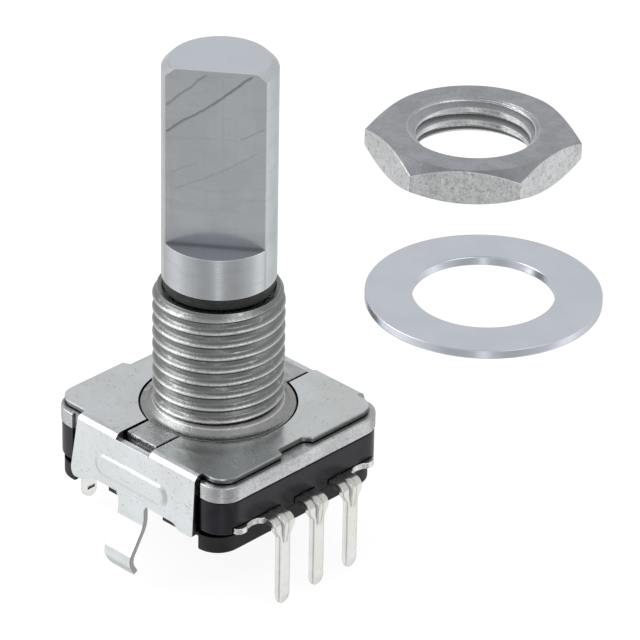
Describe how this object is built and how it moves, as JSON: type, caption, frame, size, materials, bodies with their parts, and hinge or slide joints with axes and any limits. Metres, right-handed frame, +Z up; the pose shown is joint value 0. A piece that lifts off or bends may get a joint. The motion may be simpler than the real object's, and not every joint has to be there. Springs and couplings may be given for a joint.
{
  "type": "rotary encoder",
  "caption": "Low-profile incremental rotary encoder with a push switch: D-cut shaft in a threaded panel bushing, steel snap-in bracket, pin terminals, panel nut and washer.",
  "frame": {"origin": "on the shaft axis, at the flat underside that meets the circuit board", "axes": "+Z up the shaft, +X towards the three signal terminals, +Y and -Y towards the snap-in legs"},
  "size_m": [0.0271, 0.028, 0.028],
  "materials": {
    "tin_plate": "bright tin plate on steel sheet",
    "cast_zinc": "satin die-cast zinc",
    "turned_metal": "satin turned steel",
    "nut_metal": "nickel-plated, slightly grainy",
    "washer_metal": "pale zinc plate",
    "terminal_tin": "bright tin plate on brass",
    "spring_bronze": "bare phosphor bronze",
    "spring_steel": "bright spring steel",
    "black_plastic": "semi-gloss moulded black",
    "seal_black": "matt black",
    "grey_plastic": "moulded natural grey"
  },
  "bodies": {
    "frame": {"bracket": "tin_plate", "bushing": "cast_zinc", "detent_spring": "spring_steel", "contact_base": "black_plastic", "switch_base": "black_plastic", "terminal_a": "terminal_tin", "terminal_c": "terminal_tin", "terminal_b": "terminal_tin", "wiper_a": "spring_bronze", "wiper_c": "spring_bronze", "wiper_b": "spring_bronze", "switch_terminal_d": "terminal_tin", "switch_terminal_e": "terminal_tin", "snap_dome": "spring_steel"},
    "rotor": {"rotor": "grey_plastic", "code_disc": "spring_bronze"},
    "shaft": {"shaft": "turned_metal", "seal_ring": "seal_black", "retaining_clip": "spring_steel"},
    "plunger": {"switch_plunger": "grey_plastic"},
    "nut": {"hex_nut": "nut_metal"},
    "washer": {"washer": "washer_metal"}
  },
  "joints": [
    {"name": "shaft_turn", "type": "hinge", "parent": "frame", "child": "rotor", "pos_m": [0, 0, 0], "axis": [0, 0, 1], "continuous": true},
    {"name": "shaft_press", "type": "slide", "parent": "rotor", "child": "shaft", "axis": [0, 0, -1], "range_m": [0, 0.0005]},
    {"name": "press_follow", "type": "slide", "parent": "frame", "child": "plunger", "axis": [0, 0, -1], "range_m": [0, 0.0005], "deforming": ["snap_dome"]},
    {"name": "washer_lift", "type": "slide", "parent": "frame", "child": "washer", "axis": [0, 0, 1], "range_m": [0, 0.004]},
    {"name": "nut_lift", "type": "slide", "parent": "frame", "child": "nut", "axis": [0, 0, 1], "range_m": [0, 0.004]}
  ],
  "couplings": [
    {"joint": "press_follow", "follows": "shaft_press", "ratio": 1}
  ]
}
